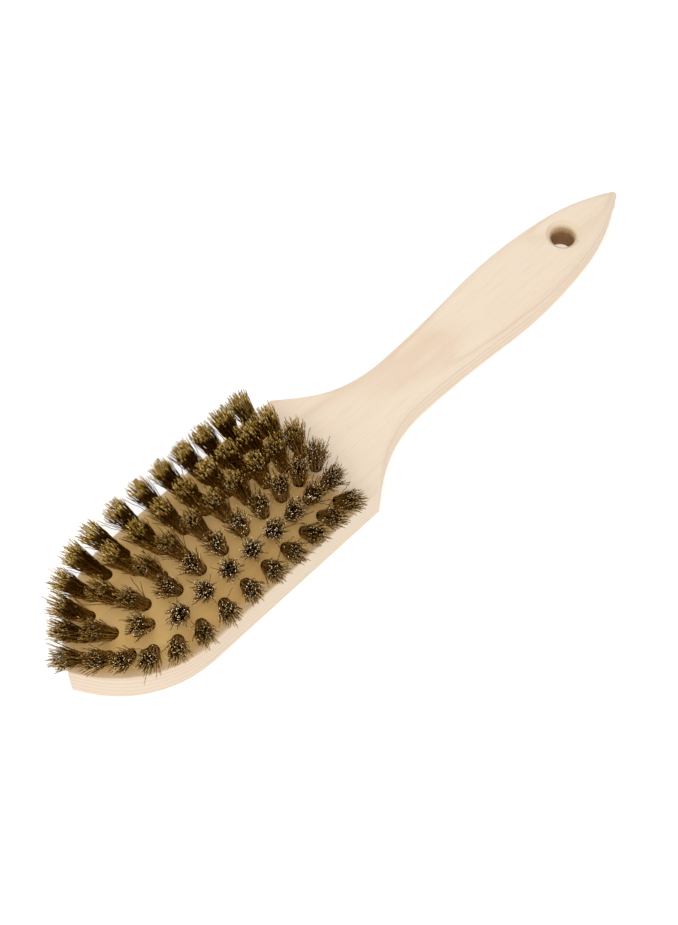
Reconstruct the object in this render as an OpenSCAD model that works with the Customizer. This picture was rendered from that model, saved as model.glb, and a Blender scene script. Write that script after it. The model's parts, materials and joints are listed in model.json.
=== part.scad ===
// Hand wire brush: a one-piece wooden body with drilled holes, and in every hole a tuft
// of brass wire, folded double and held down by a flat steel anchor.
// The brush lies on its back, bristles up. +X runs from the pointed toe to the end of the
// handle, +Z is up, and the origin is under the middle of the brush's box, on the floor.

/* [Body] */
// Length of the wooden body, from the edge of the toe to the end of the handle
body_len = 290; // [289:0.5:292]
// Thickness of the board that the body is cut from
body_t = 15; // [14:0.5:18]
// Width of the head
head_w = 56; // [54:0.5:60]
// Radius of the two arcs that meet at the toe
toe_r = 46.7; // [45:0.1:50]
// Distance from the toe to the corners of the shoulders
shoulder_x = 126.5; // [126:0.5:129]
// Radius of the hollow sweep behind each shoulder
cove_r = 60; // [58:0.5:64]
// Distance from the toe to the narrowest part of the neck
neck_x = 168; // [166:1:170]
// Width of the neck where it is narrowest
neck_w = 23.4; // [22:0.2:25]
// Distance from the toe to the widest part of the grip
grip_x = 228; // [226:1:230]
// Width of the grip where it is widest
grip_w = 29; // [28:0.2:31]
// Radius of the grip's long side curves
grip_r = 190; // [180:5:210]
// Distance from the toe to where the grip starts to turn in to its point
point_x = 262; // [260:1:264]
// Radius of the curves that run in to the handle's point
point_r = 74; // [70:1:78]
// Half width of the handle's blunt nose
nose_r = 1.4; // [1:0.1:2]
// Rounding of the handle's long edges
handle_round = 4; // [2:0.5:5]
// Length over which the faces round down to the nose
nose_roll = 9; // [5:0.5:12]
// Small broken edge round the head
head_round = 0.8; // [0.5:0.1:1.5]

/* [Hanging hole] */
// Distance from the toe to the middle of the hanging hole
hang_x = 258.5; // [255:0.5:262]
// Diameter of the hanging hole
hang_d = 9.5; // [8:0.5:12]
// Width and depth of the countersink at each mouth of the hanging hole
hang_sink = 2; // [0.5:0.1:2]

/* [Tufts] */
// Length of wire that stands out of the wood
wire_out = 19.3; // [17:0.1:20]
// Diameter of the drilled tuft holes
hole_d = 5; // [4.6:0.1:5]
// Depth of the drilled tuft holes, measured along the hole
hole_deep = 10; // [8:0.5:10]
// Diameter that a tuft spreads to at its cut end
tuft_end_d = 8.4; // [6:0.2:8.4]
// Length of the straight part of a tuft above the wood
tuft_straight = 2; // [2:0.5:4]

/* [Tuft pattern] */
// Holes in each of the six long rows
row_count = 8; // [6:1:8]
// Distance of the two inner rows from the centre line
inner_y = 4; // [3.9:0.1:4.2]
// Distance of the two middle rows from the centre line
middle_y = 11.8; // [11.6:0.1:12.2]
// Distance of the two outer rows from the centre line
outer_y = 20.5; // [20:0.1:21]
// How much the holes close up towards the heel, as a share of the pitch
close_up = 0.17; // [0:0.01:0.2]
// Distance off the centre line at which a hole would lean sideways at 45 degrees
fan_len = 32; // [32:1:60]
// Distance from the toe at which a hole would stand upright
upright_x = 136; // [130:1:150]
// Distance in front of that point at which a hole would lean forward at 45 degrees
rake_len = 208; // [200:5:400]

/* [Anchors] */
// Thickness of the flat steel anchor
anchor_t = 0.4; // [0.3:0.1:0.6]
// Height of the anchor
anchor_h = 1.8; // [1.4:0.1:2.2]
// Thickness of the wire's fold under the anchor
fold_h = 0.8; // [0.6:0.1:1.2]
// Angle between the anchors and the length of the brush
anchor_turn = 37; // [30:1:45]

/* [Hidden] */
// Curve steps for each stretch of the outline and for each rounded edge
outline_steps = 10;
edge_steps = 4;
// Half width of the toe's sharp front edge
toe_half = 0.4;
// Length behind the shoulders over which the edge rounding grows
round_run = 24;
// Room that a drill leaves above the face, so that a leaning hole opens fully
drill_over = 4;
// Half width at which the rounded nose closes in a small flat
nose_half = 0.3;
// Most of the half width that a rounded edge may take
round_share = 0.9;
// Gap that makes a sharp corner of two neighbouring cross-sections, and the least rounding
corner_gap = 0.01;
// Sides of the round holes and of the tufts
hole_sides = 64;
tuft_sides = 32;

// The six long rows: name, distance from the centre line, first and last hole
ROWS = ["inner", "middle", "outer"];
SIDES = ["left", "right"];
row_y = [inner_y, middle_y, outer_y];
row_first = [47.8, 43.5, 44.3];
row_last = [118, 115.5, 113.5];
// Holes round the toe, in mirrored pairs, and the holes on the centre line
toe_pairs = [[13, 5.8], [18.8, 10.8], [25.5, 15.6], [34.2, 19], [31.5, 6.8]];
centre_holes = [6.5, 20.2, 36];

// The outline's arcs: each centre lies where neighbouring stretches share a tangent
toe_y = toe_r - head_w / 2;
toe_x = sqrt(toe_r ^ 2 - toe_y ^ 2);
arc_sum = ((grip_x - neck_x) ^ 2 + ((grip_w - neck_w) / 2) ^ 2) / (grip_w - neck_w);
neck_r = arc_sum - grip_r;
swell_x = neck_x + (grip_x - neck_x) * neck_r / arc_sum;
point_dir = [point_x - grip_x, sqrt(grip_r ^ 2 - (point_x - grip_x) ^ 2)] / grip_r;
point_c = [grip_x, grip_w / 2 - grip_r] + (grip_r - point_r) * point_dir;
nose_x = body_len - nose_r;
// Where the top and bottom faces start to round over towards the nose
roll_x = body_len - nose_roll;

// The front of the box is the rim of the first tuft's cut end
front_dir = unit(lean([centre_holes[0], 0]));
front_x = centre_holes[0] + wire_out * front_dir.x - tuft_end_d / 2 * sqrt(1 - front_dir.x ^ 2);
middle_x = (front_x + body_len) / 2;

function unit(v) = v / norm(v);

// Direction of the hole at p: it fans out sideways and rakes towards the toe
function lean(p) = [(p.x - upright_x) / rake_len, p.y / fan_len, 1];

// Height over its chord of an arc of radius r, d away from its middle
function arc(r, d) = sqrt(max(0, r ^ 2 - d ^ 2));

function half_width(x) =
    x < toe_x ? max(toe_half, arc(toe_r, toe_x - x) - toe_y) :
    x < shoulder_x ? head_w / 2 :
    x < neck_x ? min(head_w / 2, neck_w / 2 + cove_r - arc(cove_r, neck_x - x)) :
    x < swell_x ? neck_w / 2 + neck_r - arc(neck_r, x - neck_x) :
    x < point_x ? grip_w / 2 - grip_r + arc(grip_r, x - grip_x) :
    x < nose_x ? max(nose_r, point_c.y + arc(point_r, x - point_c.x)) :
    max(nose_half, arc(nose_r, x - nose_x));

function smooth(t) = t <= 0 ? 0 : t >= 1 ? 1 : t * t * (3 - 2 * t);

// Height of the rounded long edges: almost sharp on the head and full on the handle
function edge_round(x) =
    head_round + (handle_round - head_round) * smooth((x - shoulder_x) / round_run);

// How far the top and bottom faces have rounded over at x, near the nose
function nose_drop(x) = handle_round * (1 - arc(1, max(0, x - roll_x) / nose_roll));

// Places along the body where a cross-section is made: closer together on the tight curves
toe_start = asin(toe_y / toe_r);
cove_start = asin((neck_x - shoulder_x) / cove_r);
point_start = asin((point_x - point_c.x) / point_r);
point_end = asin((roll_x - point_c.x) / point_r);
stations = concat(
    [for (i = [0 : outline_steps])
        toe_x - toe_r * cos(toe_start + (90 - toe_start) * i / outline_steps)],
    [shoulder_x - corner_gap],
    [for (i = [0 : outline_steps]) neck_x - cove_r * sin(cove_start * (1 - i / outline_steps))],
    [for (i = [1 : outline_steps]) neck_x + (point_x - neck_x) * i / outline_steps],
    [for (i = [1 : outline_steps])
        point_c.x + point_r * sin(point_start + (point_end - point_start) * i / outline_steps)],
    [for (a = [15 : 15 : 90]) roll_x + nose_roll * sin(a)]
);
ring_points = 4 * (edge_steps + 1);

// One rounded cross-section of the body, anticlockwise seen from the handle's end
function ring(x) =
    let (w = half_width(x),
         drop = nose_drop(x),
         high = max(corner_gap, edge_round(x) - drop),
         wide = min(edge_round(x), round_share * w))
    [for (c = [0 : 3], i = [0 : edge_steps])
        let (a = 90 * (c + i / edge_steps),
             y = (c == 0 || c == 3 ? 1 : -1) * (w - wide),
             z = c < 2 ? body_t - drop - high : drop + high)
        [x, y + wide * cos(a), z + high * sin(a)]];

// Side of row number r, hole number k: side 0 is left, +Y, and side 1 is right
function row_hole(r, side, k) =
    let (t = k / (row_count - 1))
    [row_first[r] + (row_last[r] - row_first[r]) * t * (1 + close_up * (1 - t)),
     (side == 0 ? 1 : -1) * row_y[r]];

all_holes = concat(
    [for (r = [0 : 2], side = [0 : 1], k = [0 : row_count - 1]) row_hole(r, side, k)],
    [for (p = toe_pairs, m = [1, -1]) [p.x, m * p.y]],
    [for (x = centre_holes) [x, 0]]
);

function row_name(r, side, k) = str("tuft_", ROWS[r], "_", SIDES[side], "_", k);

// Puts a shape at the hole at p, with +Z along the hole and out of the wood. About the
// hole it is turned the same way everywhere, as the machine that sets the anchors holds it
module at_hole(p) {
    d = lean(p);
    side_angle = atan2(d.y, d.x);
    translate([p.x - middle_x, p.y, body_t])
        rotate([0, acos(1 / norm(d)), side_angle])
            rotate([0, 0, anchor_turn - side_angle])
                children();
}

// Solid blank of the body, swept through the cross-sections
module blank() {
    n = ring_points;
    last = len(stations) - 1;
    points = [for (x = stations) each ring(x)];
    sides = [for (s = [0 : last - 1], i = [0 : n - 1])
        let (a = s * n + i, b = s * n + (i + 1) % n)
        each [[a, b, b + n], [a, b + n, a + n]]];
    front = [[for (i = [n - 1 : -1 : 0]) i]];
    back = [[for (i = [0 : n - 1]) last * n + i]];
    translate([-middle_x, 0, 0]) polyhedron(points = points, faces = concat(sides, front, back));
}

// Hanging hole with a countersink at both mouths
module hang_hole() {
    r = hang_d / 2;
    wide = r + 2 * hang_sink;
    translate([hang_x - middle_x, 0, 0]) {
        translate([0, 0, -hang_sink])
            cylinder(h = body_t + 2 * hang_sink, r = r, $fn = hole_sides);
        translate([0, 0, body_t - hang_sink])
            cylinder(h = 2 * hang_sink, r1 = r, r2 = wide, $fn = hole_sides);
        translate([0, 0, -hang_sink])
            cylinder(h = 2 * hang_sink, r1 = wide, r2 = r, $fn = hole_sides);
    }
}

module body() {
    color("bisque")
        difference() {
            blank();
            hang_hole();
            for (p = all_holes)
                at_hole(p)
                    translate([0, 0, -hole_deep])
                        cylinder(h = hole_deep + drill_over, d = hole_d, $fn = tuft_sides);
        }
}

// Flat blade across the hole; its ends follow the hole's wall
module anchor(p) {
    at_hole(p)
        translate([0, 0, fold_h - hole_deep])
            intersection() {
                cylinder(h = anchor_h, d = hole_d, $fn = tuft_sides);
                translate([-anchor_t / 2, -hole_d, 0]) cube([anchor_t, 2 * hole_d, anchor_h]);
            }
}

module anchors() {
    color("silver")
        for (p = all_holes) anchor(p);
}

// One tuft: straight in the hole, spread above it, with a slot where its anchor sits
module tuft(p) {
    color("darkgoldenrod")
        at_hole(p)
            difference() {
                rotate_extrude($fn = tuft_sides)
                    polygon([
                        [0, -hole_deep],
                        [hole_d / 2, -hole_deep],
                        [hole_d / 2, tuft_straight],
                        [tuft_end_d / 2, wire_out],
                        [0, wire_out]
                    ]);
                translate([-anchor_t / 2, -hole_d, fold_h - hole_deep])
                    cube([anchor_t, 2 * hole_d, anchor_h]);
            }
}

body();
anchors();
for (r = [0 : 2], side = [0 : 1], k = [1 : row_count])
    tuft(row_hole(r, side, k - 1));
for (i = [1 : len(toe_pairs)], m = [1, -1])
    tuft([toe_pairs[i - 1].x, m * toe_pairs[i - 1].y]);
for (i = [1 : len(centre_holes)])
    tuft([centre_holes[i - 1], 0]);
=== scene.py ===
"""Hand wire brush: a pale wooden body with 61 tufts of crimped brass wire.

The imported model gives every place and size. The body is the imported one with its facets
smoothed and a wood finish; each tuft becomes its real wires, folded double round the anchor.
Metres throughout, +X to the end of the handle, +Z up, the brush's back at zero.
"""

import json
import math

import bpy
import numpy as np
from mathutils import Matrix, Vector

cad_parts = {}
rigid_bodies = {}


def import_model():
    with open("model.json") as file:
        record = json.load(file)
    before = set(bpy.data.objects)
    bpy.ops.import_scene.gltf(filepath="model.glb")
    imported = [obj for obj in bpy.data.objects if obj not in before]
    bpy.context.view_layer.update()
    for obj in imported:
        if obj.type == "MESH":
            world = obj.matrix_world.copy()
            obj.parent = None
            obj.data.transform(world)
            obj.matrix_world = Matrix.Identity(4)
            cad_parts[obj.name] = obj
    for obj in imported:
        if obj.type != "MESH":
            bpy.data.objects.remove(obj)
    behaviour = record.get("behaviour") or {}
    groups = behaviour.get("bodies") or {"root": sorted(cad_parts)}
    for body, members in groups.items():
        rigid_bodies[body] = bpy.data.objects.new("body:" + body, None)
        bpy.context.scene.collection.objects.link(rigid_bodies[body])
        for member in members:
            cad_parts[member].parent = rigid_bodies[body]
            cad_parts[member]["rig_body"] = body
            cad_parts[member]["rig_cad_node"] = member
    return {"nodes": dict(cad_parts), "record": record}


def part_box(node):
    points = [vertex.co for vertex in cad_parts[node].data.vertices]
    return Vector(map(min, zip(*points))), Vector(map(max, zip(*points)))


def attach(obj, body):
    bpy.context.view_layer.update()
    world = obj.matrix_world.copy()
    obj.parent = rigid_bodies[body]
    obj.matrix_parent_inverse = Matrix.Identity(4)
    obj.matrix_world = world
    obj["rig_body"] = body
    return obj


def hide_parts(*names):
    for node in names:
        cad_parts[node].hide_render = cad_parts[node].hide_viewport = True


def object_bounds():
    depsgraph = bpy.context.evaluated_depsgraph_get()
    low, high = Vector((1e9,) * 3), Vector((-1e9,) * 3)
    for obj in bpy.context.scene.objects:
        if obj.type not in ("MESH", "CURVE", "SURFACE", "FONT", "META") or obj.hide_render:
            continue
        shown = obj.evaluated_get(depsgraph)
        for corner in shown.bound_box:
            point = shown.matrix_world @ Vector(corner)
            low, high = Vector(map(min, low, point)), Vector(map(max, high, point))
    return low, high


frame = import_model()
cad_low, cad_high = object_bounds()

MM = 0.001


def deselect_all():
    if bpy.context.object and bpy.context.object.mode != "OBJECT":
        bpy.ops.object.mode_set(mode="OBJECT")
    bpy.ops.object.select_all(action="DESELECT")


def pick(obj):
    deselect_all()
    obj.select_set(True)
    bpy.context.view_layer.objects.active = obj


# ---------------------------------------------------------------- shader helpers
def new_material(name):
    material = bpy.data.materials.new(name)
    material.use_nodes = True
    tree = material.node_tree
    return material, tree, tree.nodes["Principled BSDF"]


def add(tree, kind, **values):
    """A node with its properties and its inputs set by name."""
    node = tree.nodes.new(kind)
    for key, value in values.items():
        if hasattr(node, key):
            setattr(node, key, value)
        else:
            node.inputs[key.replace("_", " ")].default_value = value
    return node


def coordinates(tree, kind="Object"):
    """The piece's own axes, which are the brush's."""
    return tree.nodes.new("ShaderNodeTexCoord").outputs[kind]


def split(tree, vector):
    parts = tree.nodes.new("ShaderNodeSeparateXYZ")
    tree.links.new(vector, parts.inputs[0])
    return parts.outputs


def carried(tree, name):
    """A value that the mesh carries at its points."""
    return add(tree, "ShaderNodeAttribute", attribute_name=name).outputs["Fac"]


def math_node(tree, operation, a, b=None, c=None):
    node = tree.nodes.new("ShaderNodeMath")
    node.operation = operation
    for socket, value in zip(node.inputs, (a, b, c)):
        if value is None:
            continue
        if isinstance(value, (int, float)):
            socket.default_value = value
        else:
            tree.links.new(value, socket)
    return node.outputs[0]


def mix_colour(tree, share, a, b, blend="MIX"):
    """A Mix node for colours, whose sockets are 6 and 7 of its inputs and 2 of its outputs."""
    node = tree.nodes.new("ShaderNodeMix")
    node.data_type = "RGBA"
    node.blend_type = blend
    for socket, value in ((node.inputs[0], share), (node.inputs[6], a), (node.inputs[7], b)):
        if isinstance(value, (int, float)):
            socket.default_value = value
        elif isinstance(value, tuple):
            socket.default_value = (*value, 1)
        else:
            tree.links.new(value, socket)
    return node.outputs[2]


def tint(tree, colour, mask, strength, over):
    """A colour with another laid over it where the mask is, as strongly as is said."""
    return mix_colour(tree, math_node(tree, "MULTIPLY", mask, strength), colour, over)


def ramp(tree, value, *stops):
    """Smooth ramp from (place, grey) stops."""
    node = tree.nodes.new("ShaderNodeValToRGB")
    node.color_ramp.interpolation = "EASE"
    elements = node.color_ramp.elements
    while len(elements) < len(stops):
        elements.new(0.5)
    for element, (place, grey) in zip(elements, stops):
        element.position = place
        element.color = (grey, grey, grey, 1)
    tree.links.new(value, node.inputs[0])
    return node.outputs[0]


def fade(tree, value, start, run):
    """0 at start, rising to 1 over run, which may be negative."""
    raw = math_node(tree, "DIVIDE", math_node(tree, "SUBTRACT", value, start), run)
    return ramp(tree, raw, (0.0, 0.0), (1.0, 1.0))


def grain_group():
    """Noise drawn out along each axis, for fibres, bands, spots and drawing marks."""
    group = bpy.data.node_groups.new("stretched_grain", "ShaderNodeTree")
    for name, kind in (("Place", "NodeSocketVector"), ("Stretch", "NodeSocketVector"),
                       ("Detail", "NodeSocketFloat"), ("Coarseness", "NodeSocketFloat")):
        group.interface.new_socket(name, in_out="INPUT", socket_type=kind)
    group.interface.new_socket("Grain", in_out="OUTPUT", socket_type="NodeSocketFloat")
    inside = group.nodes.new("NodeGroupInput")
    outside = group.nodes.new("NodeGroupOutput")
    stretched = add(group, "ShaderNodeVectorMath", operation="MULTIPLY")
    noise = add(group, "ShaderNodeTexNoise", Scale=1.0)
    link = group.links.new
    link(inside.outputs["Place"], stretched.inputs[0])
    link(inside.outputs["Stretch"], stretched.inputs[1])
    link(stretched.outputs[0], noise.inputs["Vector"])
    link(inside.outputs["Detail"], noise.inputs["Detail"])
    link(inside.outputs["Coarseness"], noise.inputs["Roughness"])
    link(noise.outputs["Fac"], outside.inputs["Grain"])
    return group


def grain(tree, place, stretch, detail=3.0, coarseness=0.5):
    """One placed grain: stretch is its cycles in a metre along each axis."""
    node = tree.nodes.new("ShaderNodeGroup")
    node.node_tree = bpy.data.node_groups.get("stretched_grain") or grain_group()
    tree.links.new(place, node.inputs["Place"])
    node.inputs["Stretch"].default_value = stretch
    node.inputs["Detail"].default_value = detail
    node.inputs["Coarseness"].default_value = coarseness
    return node.outputs["Grain"]


def emboss(tree, shader, height, strength, depth):
    bump = add(tree, "ShaderNodeBump", Strength=strength, Distance=depth)
    tree.links.new(height, bump.inputs["Height"])
    tree.links.new(bump.outputs[0], shader.inputs["Normal"])


# ---------------------------------------------------------------- wood
EARLY_WOOD = (0.880, 0.740, 0.580)
LATE_WOOD = (0.740, 0.525, 0.360)
WARM_WOOD = (0.870, 0.665, 0.480)
ROSY_WOOD = (0.880, 0.650, 0.500)
FLECK_WOOD = (0.62, 0.42, 0.27)
WOOD_SHEEN = 0.3

# The growth rings, and the pith that they go round: its depth under the back, its place to
# one side and its slope along the brush
RING_PITCH = 2.9 * MM
RING_WANDER = 5 * MM
PITH_DEPTH = 120 * MM
PITH_SIDE = 6 * MM
PITH_SLOPE = 0.030

# Painted warm shade between the tufts, standing in for light bounced off the brass: the radius of the
# head's toe arcs, how far past the outline it thins out, and how far before the end of the last tuft it
# stops
BOUNCE_SHADE_TINT = (1.0, 0.77, 0.34)
TOE_RADIUS = 46.7 * MM
BOUNCE_SHADE_OVERRUN = 2.5 * MM
BOUNCE_SHADE_FADE = 8.0 * MM
HEEL_INSET = 1 * MM
HEEL_FADE = 8.0 * MM

# Wood that the drill has cut, with painted shade: how deep below the face the bore starts to be painted
# darker
BORE_LIGHT = (0.80, 0.58, 0.35)
BORE_DARK = (0.34, 0.19, 0.08)
MOUTH_LIGHT = (0.86, 0.71, 0.52)
MOUTH_DARK = (0.76, 0.58, 0.37)
MOUTH_DEPTH = 1.0 * MM
BORE_FADE = 7.0 * MM
DRILLED_SHEEN = 0.2


def painted_bounce_shade(tree, x, y, up, patches):
    """Mask of the face between the tufts, where shade and brass-coloured bounce light are painted on the
    wood.
    It follows the head's outline: the two toe arcs, and their straight run to the heel."""
    low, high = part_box("body")
    toe_y = TOE_RADIUS - high.y
    toe_x = low.x + math.sqrt(TOE_RADIUS ** 2 - toe_y ** 2)
    heel_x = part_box("tuft_inner_left_8")[1].x - HEEL_INSET
    ahead = math_node(tree, "MINIMUM", math_node(tree, "SUBTRACT", x, toe_x), 0.0)
    across = math_node(tree, "ADD", math_node(tree, "ABSOLUTE", y), toe_y)
    reach = math_node(tree, "MULTIPLY_ADD", ahead, ahead, math_node(tree, "MULTIPLY", across, across))
    reach = math_node(tree, "SQRT", reach)
    inside = fade(tree, reach, TOE_RADIUS + BOUNCE_SHADE_OVERRUN, -BOUNCE_SHADE_FADE)
    before = fade(tree, x, heel_x, -HEEL_FADE)
    facing = math_node(tree, "GREATER_THAN", up, 0.5)
    mask = math_node(tree, "MULTIPLY", math_node(tree, "MULTIPLY", inside, before), facing)
    return math_node(tree, "MULTIPLY", mask, math_node(tree, "MULTIPLY_ADD", patches, 0.4, 0.75))


def growth_rings(tree, place, x, y, z):
    """Dark late wood in rings about a pith far under the board, wandering a little."""
    wander = grain(tree, place, (14, 40, 40), 2.0)
    depth = math_node(tree, "MULTIPLY_ADD", x, PITH_SLOPE, z)
    depth = math_node(tree, "ADD", depth, PITH_DEPTH)
    depth = math_node(tree, "MULTIPLY_ADD", wander, RING_WANDER, depth)
    side = math_node(tree, "ADD", y, PITH_SIDE)
    across = math_node(tree, "MULTIPLY", side, side)
    radius = math_node(tree, "SQRT", math_node(tree, "MULTIPLY_ADD", depth, depth, across))
    ring = math_node(tree, "FRACT", math_node(tree, "DIVIDE", radius, RING_PITCH))
    return ramp(tree, ring, (0.0, 0.35), (0.12, 0.0), (0.62, 0.08), (0.9, 1.0), (1.0, 0.35))


def ring_strength(tree, place, up, patches):
    """How plainly the rings show: more on the sides, and coming and going along them."""
    fading = ramp(tree, grain(tree, place, (25, 10, 10), 1.0), (0.35, 0.15), (0.65, 1.0))
    on_sides = math_node(tree, "SUBTRACT", 1.0, math_node(tree, "ABSOLUTE", up))
    on_sides = math_node(tree, "MULTIPLY", on_sides, 0.34)
    everywhere = math_node(tree, "MULTIPLY_ADD", patches, 0.5, 0.1)
    return math_node(tree, "MULTIPLY_ADD", on_sides, fading, everywhere)


def wood_material():
    """Pale flat-sawn hardwood: growth rings, warm patches, rosy streaks, fibres and flecks."""
    material, tree, shader = new_material("pale_wood")
    link = tree.links.new
    place = coordinates(tree)
    x, y, z = split(tree, place)
    up = split(tree, coordinates(tree, "Normal"))["Z"]

    late = growth_rings(tree, place, x, y, z)
    patches = grain(tree, place, (12, 60, 60), 3.0)
    streaks = grain(tree, place, (10, 330, 330), 3.0)
    fibres = grain(tree, place, (60, 1500, 1500), 4.0, 0.6)
    flecks = grain(tree, place, (220, 2400, 2400), 2.0)

    colour = tint(tree, EARLY_WOOD, ramp(tree, patches, (0.42, 0.0), (0.75, 1.0)), 0.3, WARM_WOOD)
    colour = tint(tree, colour, ramp(tree, streaks, (0.5, 0.0), (0.72, 1.0)), 0.35, ROSY_WOOD)
    colour = tint(tree, colour, late, ring_strength(tree, place, up, patches), LATE_WOOD)
    colour = tint(tree, colour, ramp(tree, fibres, (0.45, 0.0), (0.8, 1.0)), 0.25, LATE_WOOD)
    colour = tint(tree, colour, ramp(tree, flecks, (0.62, 0.0), (0.8, 1.0)), 0.3, FLECK_WOOD)
    # painted shade: the face between the tufts is darkened and warmed to stand in for light bounced off
    # the brass
    bounce_shade = painted_bounce_shade(tree, x, y, up, patches)
    colour = mix_colour(tree, bounce_shade, colour, mix_colour(tree, 1.0, colour, BOUNCE_SHADE_TINT, "MULTIPLY"))
    link(colour, shader.inputs["Base Color"])

    rough = math_node(tree, "MULTIPLY_ADD", fibres, 0.18, 0.5)
    link(math_node(tree, "MULTIPLY_ADD", late, -0.06, rough), shader.inputs["Roughness"])
    emboss(tree, shader, math_node(tree, "MULTIPLY_ADD", late, 0.4, fibres), 0.25, 0.15 * MM)
    shader.inputs["Specular IOR Level"].default_value = WOOD_SHEEN
    return material


def drilled_material(name, light, dark):
    """Wood cut across by the drill in the hanging hole: rougher than the faces, painted darker
    with depth as painted shade, and darker in the bands of the end grain."""
    material, tree, shader = new_material(name)
    link = tree.links.new
    place = coordinates(tree)
    fibres = grain(tree, place, (900, 900, 240), 4.0, 0.6)
    bands = grain(tree, place, (120, 120, 900), 2.0)
    both = math_node(tree, "MULTIPLY_ADD", bands, 0.5, math_node(tree, "MULTIPLY", fibres, 0.5))
    # painted shade: the drilled wood is painted darker the deeper it lies below the face
    depth = fade(tree, split(tree, place)["Z"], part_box("body")[1].z - MOUTH_DEPTH, -BORE_FADE)
    painted_shade_and_grain = math_node(tree, "MULTIPLY_ADD", depth, 0.7, math_node(tree, "MULTIPLY_ADD", both, 1.2, -0.5))
    colour = mix_colour(tree, ramp(tree, painted_shade_and_grain, (0.0, 0.0), (0.8, 1.0)), light, dark)
    link(colour, shader.inputs["Base Color"])
    link(math_node(tree, "MULTIPLY_ADD", fibres, 0.2, 0.65), shader.inputs["Roughness"])
    emboss(tree, shader, both, 0.5, 0.2 * MM)
    shader.inputs["Specular IOR Level"].default_value = DRILLED_SHEEN
    return material


# ---------------------------------------------------------------- metals
BRASS_SHAFT = (0.50, 0.30, 0.055)
BRASS_TIPWARD = (0.70, 0.46, 0.11)
BRASS_BRIGHT = (0.95, 0.72, 0.25)
BRASS_DULL = (0.20, 0.11, 0.02)
BRASS_TARNISH = (0.17, 0.09, 0.015)
# The cut ends' colours: a dark one for painted shade, and a pale one for painted sparkle
CUT_SHADED = (0.10, 0.06, 0.02)
CUT_SPARKLE_PALE = (0.97, 0.86, 0.64)
STEEL_DARK = (0.36, 0.36, 0.37)
STEEL_LIGHT = (0.62, 0.62, 0.63)


def brass_material():
    """Drawn brass wire: tarnished shafts, lighter towards the cut ends."""
    material, tree, shader = new_material("brass_wire")
    link = tree.links.new
    tone = carried(tree, "shade")
    spots = grain(tree, coordinates(tree), (900, 900, 900), 3.0)
    # lighter towards the cut ends
    tipward = ramp(tree, carried(tree, "along"), (0.0, 0.0), (0.75, 0.08), (1.0, 0.55))
    colour = mix_colour(tree, tipward, BRASS_SHAFT, BRASS_TIPWARD)
    colour = mix_colour(tree, ramp(tree, tone, (0.7, 0.0), (0.95, 1.0)), colour, BRASS_BRIGHT)
    colour = tint(tree, colour, ramp(tree, tone, (0.05, 1.0), (0.4, 0.0)), 0.6, BRASS_DULL)
    colour = tint(tree, colour, ramp(tree, spots, (0.4, 0.0), (0.7, 1.0)), 0.45, BRASS_TARNISH)
    link(colour, shader.inputs["Base Color"])
    shader.inputs["Metallic"].default_value = 1.0
    link(math_node(tree, "MULTIPLY_ADD", spots, 0.3, 0.14), shader.inputs["Roughness"])
    return material


def cut_end_material():
    """The sheared ends of the wires: pale metal as painted sparkle on some, dark painted shade on others,
    by each wire's own tone.
    """
    material, tree, shader = new_material("brass_cut_end")
    link = tree.links.new
    # painted sparkle and painted shade: which ends are pale and which are dark, by each wire's random tone
    painted_sparkle = ramp(tree, carried(tree, "shade"), (0.45, 0.0), (0.8, 1.0))
    link(mix_colour(tree, painted_sparkle, CUT_SHADED, CUT_SPARKLE_PALE), shader.inputs["Base Color"])
    shader.inputs["Metallic"].default_value = 1.0
    spots = grain(tree, coordinates(tree), (4000, 4000, 4000), 2.0)
    link(math_node(tree, "MULTIPLY_ADD", spots, 0.2, 0.25), shader.inputs["Roughness"])
    return material


def steel_material():
    """The anchors: plain drawn steel strip with a sheared grain."""
    material, tree, shader = new_material("anchor_steel")
    link = tree.links.new
    lines = grain(tree, coordinates(tree), (600, 600, 5000), 3.0)
    link(mix_colour(tree, lines, STEEL_DARK, STEEL_LIGHT), shader.inputs["Base Color"])
    shader.inputs["Metallic"].default_value = 1.0
    link(math_node(tree, "MULTIPLY_ADD", lines, 0.3, 0.25), shader.inputs["Roughness"])
    return material


# ---------------------------------------------------------------- body
# Corners nearer than the first are one, faces turned by less than the second are one facet,
# and facets that meet at less than the third are shaded as one curve
WELD_GAP = 0.004 * MM
SAME_FACET = math.radians(0.4)
SAME_CURVE = math.radians(28)

# The hanging hole's own faces lie within so many of its radii. How far their normals rise, with
# 1 for a level face, tells the board's faces, the countersunk mouths and the bore apart
HOLE_REACH = 1.35
MOUTH_RISE = 0.9
BORE_RISE = 0.3


def give_hole_its_finishes(body):
    """The bore takes the second material and the countersunk mouths the third."""
    hole = next(m for m in frame["record"]["mounts"] if m["name"] == "hang_hole")
    reach = HOLE_REACH * hole["dims"]["r_mm"] * MM
    for face in body.data.polygons:
        away = math.hypot(face.center.x - hole["pos_m"][0], face.center.y - hole["pos_m"][1])
        if away < reach and abs(face.normal.z) < MOUTH_RISE:
            face.material_index = 1 if abs(face.normal.z) < BORE_RISE else 2


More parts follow.
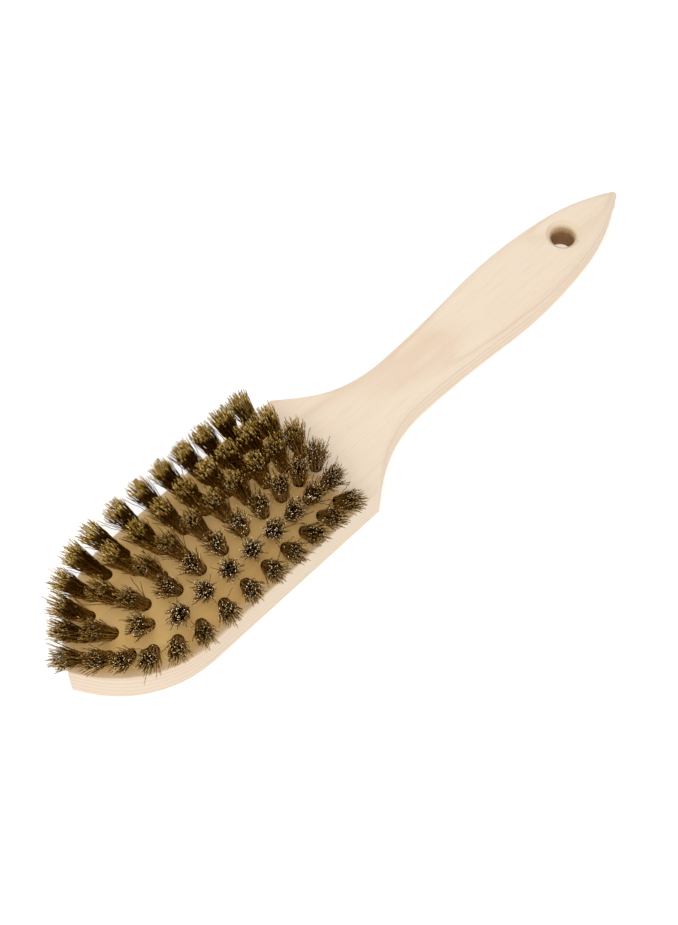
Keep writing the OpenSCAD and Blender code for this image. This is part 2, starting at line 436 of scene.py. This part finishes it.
def make_body(materials):
    """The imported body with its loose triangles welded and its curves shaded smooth."""
    pick(frame["nodes"]["body"])
    bpy.ops.object.duplicate()
    body = bpy.context.object
    body.name = "wooden_body"
    body.parent = None
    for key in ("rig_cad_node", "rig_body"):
        if key in body:
            del body[key]
    bpy.ops.object.mode_set(mode="EDIT")
    bpy.ops.mesh.select_all(action="SELECT")
    bpy.ops.mesh.remove_doubles(threshold=WELD_GAP)
    bpy.ops.mesh.dissolve_limited(angle_limit=SAME_FACET)
    bpy.ops.object.mode_set(mode="OBJECT")
    bpy.ops.object.shade_smooth_by_angle(angle=SAME_CURVE)
    weighted = body.modifiers.new("flat_faces_stay_flat", "WEIGHTED_NORMAL")
    weighted.keep_sharp = True
    bpy.ops.object.modifier_apply(modifier=weighted.name)
    body.data.materials.clear()
    for material in materials:
        body.data.materials.append(material)
    give_hole_its_finishes(body)
    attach(body, "root")
    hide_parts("body")


def make_anchors(steel):
    """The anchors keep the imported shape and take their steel."""
    anchors = frame["nodes"]["anchors"]
    anchors.data.materials.clear()
    anchors.data.materials.append(steel)


# ---------------------------------------------------------------- tufts
# The wire, the folded wires in a tuft, and the steps of a wire's mesh on each leg and round
# its fold
WIRE_RADIUS = 0.14 * MM
HAIRPINS = 72
WIRE_SEED = 61
LEG_STEPS = 9
FOLD_STEPS = 3
WIRE_STEPS = 2 * LEG_STEPS + FOLD_STEPS

# The fold: the wires lie within a radius of the hole's middle, clear of the middle of the
# anchor's blade, which is turned alike in every hole
PACKED_RADIUS = 2.3 * MM
ROOT_SCATTER = 0.1 * MM
OFF_BLADE = 0.12 * MM
BLADE_TURN = math.radians(37)
FOLD_HEIGHT = 0.6 * MM
FOLD_PINCH = 0.7
LEG_FOOT = 1.6 * MM
LEG_START = -1 * MM
GOLDEN_TURN = math.pi * (3 - math.sqrt(5))

# The crimp, which sets in over its first rise out of the wood
CRIMP_WAVE = 6.0 * MM
CRIMP_SWING = 0.2 * MM
CRIMP_RISE = 2 * MM

# The spread at the cut ends, the strays that lean out further, and the ends' uneven lengths
SPREAD_END = 4.1 * MM
SPREAD_CURVE = 1.15
SPREAD_SCATTER = 0.75 * MM
STRAY_SHARE = 0.15
STRAY_SPREAD = (1.1, 2.1)
STRAY_SCATTER = 1.1 * MM
OUTER_DROP = 0.2 * MM
RAGGED_ENDS = 1.5 * MM

# Share of each leg, from the fold up, that keeps the shaft's colour before it lightens towards
# # the cut end, and the room that is kept between the wires' middles and the imported model's box
UNLIGHTENED_SHARE = 0.16
BOX_MARGIN = 2 * WIRE_RADIUS

# Points this far from the middle line tell a mirrored pair of tufts, and points this near to
# the far end of a tuft make its end face
PAIR_GAP = 1 * MM
END_SLICE = 0.5 * MM


def solids_of(node):
    """The corner points of each separate solid in a tuft node: one, or a mirrored pair."""
    mesh = frame["nodes"][node].data
    co = np.empty(len(mesh.vertices) * 3)
    mesh.vertices.foreach_get("co", co)
    co = np.unique(co.reshape(-1, 3).round(6), axis=0)
    both_sides = co[:, 1].min() < -PAIR_GAP and co[:, 1].max() > PAIR_GAP
    if both_sides and node.startswith("toe_tufts"):
        return [co[co[:, 1] > 0], co[co[:, 1] < 0]]
    return [co]


def axis_of(points):
    """Middle of a tuft's folded end, the unit vector from it to its cut end, and its length."""
    middle = points.mean(axis=0)
    longest = np.linalg.svd(points - middle)[2][0]
    longest = longest * np.sign(longest[2])
    along = (points - middle) @ longest
    bottom = points[along < along.min() + END_SLICE].mean(axis=0)
    top = points[along > along.max() - END_SLICE].mean(axis=0)
    length = np.linalg.norm(top - bottom)
    return bottom, (top - bottom) / length, length


def wire_template():
    """One straight wire of unit length and unit radius, three-sided, with a ring at every step."""
    deselect_all()
    bpy.ops.mesh.primitive_circle_add(vertices=3, radius=1, fill_type="NGON")
    wire = bpy.context.object
    bpy.ops.object.mode_set(mode="EDIT")
    bpy.ops.mesh.select_all(action="SELECT")
    for _ in range(WIRE_STEPS):
        bpy.ops.mesh.extrude_region_move(TRANSFORM_OT_translate={"value": (0, 0, 1 / WIRE_STEPS)})
    bpy.ops.mesh.select_all(action="SELECT")
    bpy.ops.mesh.normals_make_consistent(inside=False)
    bpy.ops.object.mode_set(mode="OBJECT")
    mesh = wire.data
    points = np.array([v.co for v in mesh.vertices])
    faces = [list(p.vertices) for p in mesh.polygons]
    bpy.data.objects.remove(wire)
    return points, faces


def leg_path(u, v, sunk, out, rng):
    """One leg of a wire from beside the blade to its cut end. At its root it stands at u across
    the blade and v along it."""
    v = v + rng.normal(0, ROOT_SCATTER)
    root = np.array([u, v])
    reach = np.linalg.norm(root) / PACKED_RADIUS
    swing = root / PACKED_RADIUS * (SPREAD_END - PACKED_RADIUS)
    swing = swing + rng.normal(0, SPREAD_SCATTER, 2)
    if rng.random() < STRAY_SHARE:
        swing = swing * rng.uniform(*STRAY_SPREAD) + rng.normal(0, STRAY_SCATTER, 2)
    tip = out - OUTER_DROP * reach ** 2 - abs(rng.normal(0, RAGGED_ENDS))
    turn = rng.uniform(0, math.pi)
    phase = rng.uniform(0, 2 * math.pi)
    heights = np.concatenate([[LEG_FOOT - sunk], np.linspace(LEG_START, tip, LEG_STEPS)])
    spread = np.clip(heights / out, 0, None) ** SPREAD_CURVE
    crimp = CRIMP_SWING * np.clip(heights / CRIMP_RISE, 0, 1)
    wave = crimp * np.sin(2 * math.pi * heights / CRIMP_WAVE + phase)
    return np.stack([u + swing[0] * spread + wave * math.cos(turn),
                     v + swing[1] * spread + wave * math.sin(turn),
                     heights], axis=1)


def hairpin_paths(length, sunk, rng):
    """Paths of a tuft's wires in the tuft's own axes: +Z out of the wood, zero at the face.
    Each wire runs from one cut end, down one side of the anchor, under it and up again."""
    paths, tones = [], []
    for i in range(HAIRPINS):
        from_middle = PACKED_RADIUS * math.sqrt((i + 0.5) / HAIRPINS)
        turn = i * GOLDEN_TURN
        u = abs(from_middle * math.cos(turn)) + OFF_BLADE
        v = from_middle * math.sin(turn)
        near, far = [leg_path(u * side, v, sunk, length - sunk, rng) for side in (1, -1)]
        fold_v = (near[0, 1] + far[0, 1]) / 2
        under = np.array([[leg[0, 0] * FOLD_PINCH, fold_v, FOLD_HEIGHT - sunk] for leg in (near, far)])
        paths.append(np.concatenate([near[::-1], under, far]))
        tones.append(rng.random())
    return np.array(paths), np.array(tones)


def inside_box(paths):
    """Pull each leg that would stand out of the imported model's box back in, more and more
    from the fold to its cut end, so that it keeps its crimp and its root."""
    low = np.array(cad_low) + BOX_MARGIN
    high = np.array(cad_high) - BOX_MARGIN
    over = paths - np.clip(paths, low, high)
    half = paths.shape[1] // 2
    share = np.linspace(1, 0, half)[None, :, None]
    for leg in (slice(None, half), slice(-1, -half - 1, -1)):
        furthest = np.abs(over[:, leg]).argmax(axis=1)[:, None]
        paths[:, leg] -= np.take_along_axis(over[:, leg], furthest, axis=1) * share
    return np.clip(paths, low, high)


def tuft_axes(axis):
    """The tuft's own axes as columns: across the blade, along it, and out of the wood."""
    tilt = np.array(Vector((0, 0, 1)).rotation_difference(Vector(axis)).to_matrix())
    cos, sin = math.cos(BLADE_TURN), math.sin(BLADE_TURN)
    return tilt @ np.array([[cos, -sin, 0], [sin, cos, 0], [0, 0, 1]])


def across_wire(paths, reference):
    """Two unit vectors across each wire at each of its rings."""
    tangents = np.gradient(paths, axis=1)
    tangents /= np.linalg.norm(tangents, axis=2, keepdims=True)
    first = np.cross(tangents, reference)
    first /= np.linalg.norm(first, axis=2, keepdims=True)
    return first, np.cross(tangents, first)


def make_tuft(node, template, top_z, rng, brass, cut):
    """All the wires of one tuft node as one mesh, each wire the template laid along its path."""
    points, faces = template
    ring = np.rint(points[:, 2] * WIRE_STEPS).astype(int)
    from_fold = np.abs(ring - WIRE_STEPS / 2) / (WIRE_STEPS / 2)
    from_fold = np.clip((from_fold - UNLIGHTENED_SHARE) / (1 - UNLIGHTENED_SHARE), 0, 1)
    is_end = [len(face) == 3 for face in faces]
    corners, sides, along, shade, ends = [], [], [], [], []
    for solid in solids_of(node):
        bottom, axis, length = axis_of(solid)
        sunk = (top_z - bottom[2]) / axis[2]
        paths, tones = hairpin_paths(length, sunk, rng)
        axes = tuft_axes(axis)
        mouth = bottom + axis * sunk
        paths = inside_box(paths @ axes.T + mouth)
        for path, u, w, tone in zip(paths, *across_wire(paths, axes[:, 1]), tones):
            start = len(corners) * len(points)
            corners.append(path[ring] + WIRE_RADIUS * (points[:, :1] * u[ring] + points[:, 1:2] * w[ring]))
            sides.extend([[start + k for k in face] for face in faces])
            along.append(from_fold)
            shade.append(np.full(len(points), tone))
            ends.extend(is_end)
    mesh = bpy.data.meshes.new(node)
    mesh.from_pydata(np.concatenate(corners).tolist(), [], sides)
    for name, values in (("along", along), ("shade", shade)):
        layer = mesh.attributes.new(name, "FLOAT", "POINT")
        layer.data.foreach_set("value", np.concatenate(values).astype(np.float32))
    mesh.materials.append(brass)
    mesh.materials.append(cut)
    mesh.polygons.foreach_set("material_index", np.array(ends, np.int32))
    mesh.polygons.foreach_set("use_smooth", ~np.array(ends, bool))
    piece = bpy.data.objects.new(node + "_wires", mesh)
    bpy.context.scene.collection.objects.link(piece)
    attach(piece, "root")
    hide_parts(node)


# ---------------------------------------------------------------- studio
# The camera's place from the toe's tip, its heading from +Y towards +X, and its lens in mm
CAMERA_FROM_TOE = -0.1706
CAMERA_SIDE = -0.2966
CAMERA_HEIGHT = 0.7308
CAMERA_HEADING = math.radians(45.78)
CAMERA_DOWN = math.radians(60.04)
CAMERA_LENS = 88.24
CAMERA_SENSOR = 36

# The white room as it lights the brush, as it shows in reflections and as the camera sees it
ROOM_LIGHT = 0.62
ROOM_GLOSS = 0.5
ROOM_SEEN = 0.95

# The floor lies just under the brush's back, so that the two faces never fight
FLOOR_SIZE = 20
FLOOR_DROP = 0.05 * MM
FLOOR_GREY = 0.72
FLOOR_ROUGHNESS = 0.9
FLOOR_GLOW = 0.4

# Square lights: name, place, width and watts
LIGHTS = (("key_light", (-0.45, -0.35, 1.1), 0.8, 6.5),
          ("far_light", (0.3, 0.7, 1.0), 1.0, 2))


def aim(obj, look):
    obj.rotation_mode = "QUATERNION"
    obj.rotation_quaternion = look.to_track_quat("-Z", "Y")


def white_room(scene):
    world = bpy.data.worlds.new("soft_studio")
    scene.world = world
    world.use_nodes = True
    tree = world.node_tree
    background = tree.nodes["Background"]
    background.inputs["Color"].default_value = (1, 1, 1, 1)
    ray = tree.nodes.new("ShaderNodeLightPath").outputs
    strength = math_node(tree, "MULTIPLY_ADD", ray["Is Glossy Ray"], ROOM_GLOSS - ROOM_LIGHT, ROOM_LIGHT)
    strength = math_node(tree, "MULTIPLY_ADD", ray["Is Camera Ray"], ROOM_SEEN - ROOM_LIGHT, strength)
    tree.links.new(strength, background.inputs["Strength"])


def pale_floor():
    deselect_all()
    bpy.ops.mesh.primitive_plane_add(size=FLOOR_SIZE, location=(0, 0, -FLOOR_DROP))
    floor = bpy.context.object
    floor.name = "studio_floor"
    material, _, shader = new_material("pale_floor")
    shader.inputs["Base Color"].default_value = (FLOOR_GREY, FLOOR_GREY, FLOOR_GREY, 1)
    shader.inputs["Roughness"].default_value = FLOOR_ROUGHNESS
    shader.inputs["Emission Color"].default_value = (1, 1, 1, 1)
    shader.inputs["Emission Strength"].default_value = FLOOR_GLOW
    floor.data.materials.append(material)


def camera_over_toe(scene):
    """The camera stands beyond the toe and to one side, and looks down across the brush."""
    camera = bpy.data.objects.new("camera", bpy.data.cameras.new("camera"))
    scene.collection.objects.link(camera)
    camera.location = (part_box("body")[0].x + CAMERA_FROM_TOE, CAMERA_SIDE, CAMERA_HEIGHT)
    aim(camera, Vector((math.cos(CAMERA_DOWN) * math.sin(CAMERA_HEADING),
                        math.cos(CAMERA_DOWN) * math.cos(CAMERA_HEADING),
                        -math.sin(CAMERA_DOWN))))
    camera.data.lens = CAMERA_LENS
    camera.data.sensor_width = CAMERA_SENSOR
    scene.camera = camera


def square_light(scene, name, place, width, watts):
    """A light that faces the origin, in the middle of the brush."""
    data = bpy.data.lights.new(name, "AREA")
    data.shape = "SQUARE"
    data.size = width
    data.energy = watts
    light = bpy.data.objects.new(name, data)
    scene.collection.objects.link(light)
    light.location = place
    aim(light, -Vector(place))


def studio():
    scene = bpy.context.scene
    scene.view_settings.view_transform = "Standard"
    white_room(scene)
    pale_floor()
    camera_over_toe(scene)
    for light in LIGHTS:
        square_light(scene, *light)


# ---------------------------------------------------------------- the whole brush
def main():
    rng = np.random.default_rng(WIRE_SEED)
    deselect_all()
    wood = wood_material()
    brass = brass_material()
    cut = cut_end_material()
    steel = steel_material()
    bore = drilled_material("drilled_wood", BORE_LIGHT, BORE_DARK)
    mouth = drilled_material("countersunk_wood", MOUTH_LIGHT, MOUTH_DARK)
    make_body([wood, bore, mouth])
    make_anchors(steel)
    top_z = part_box("body")[1].z
    template = wire_template()
    for node in sorted(frame["nodes"]):
        if "tuft" in node:
            make_tuft(node, template, top_z, rng, brass, cut)
    studio()


main()
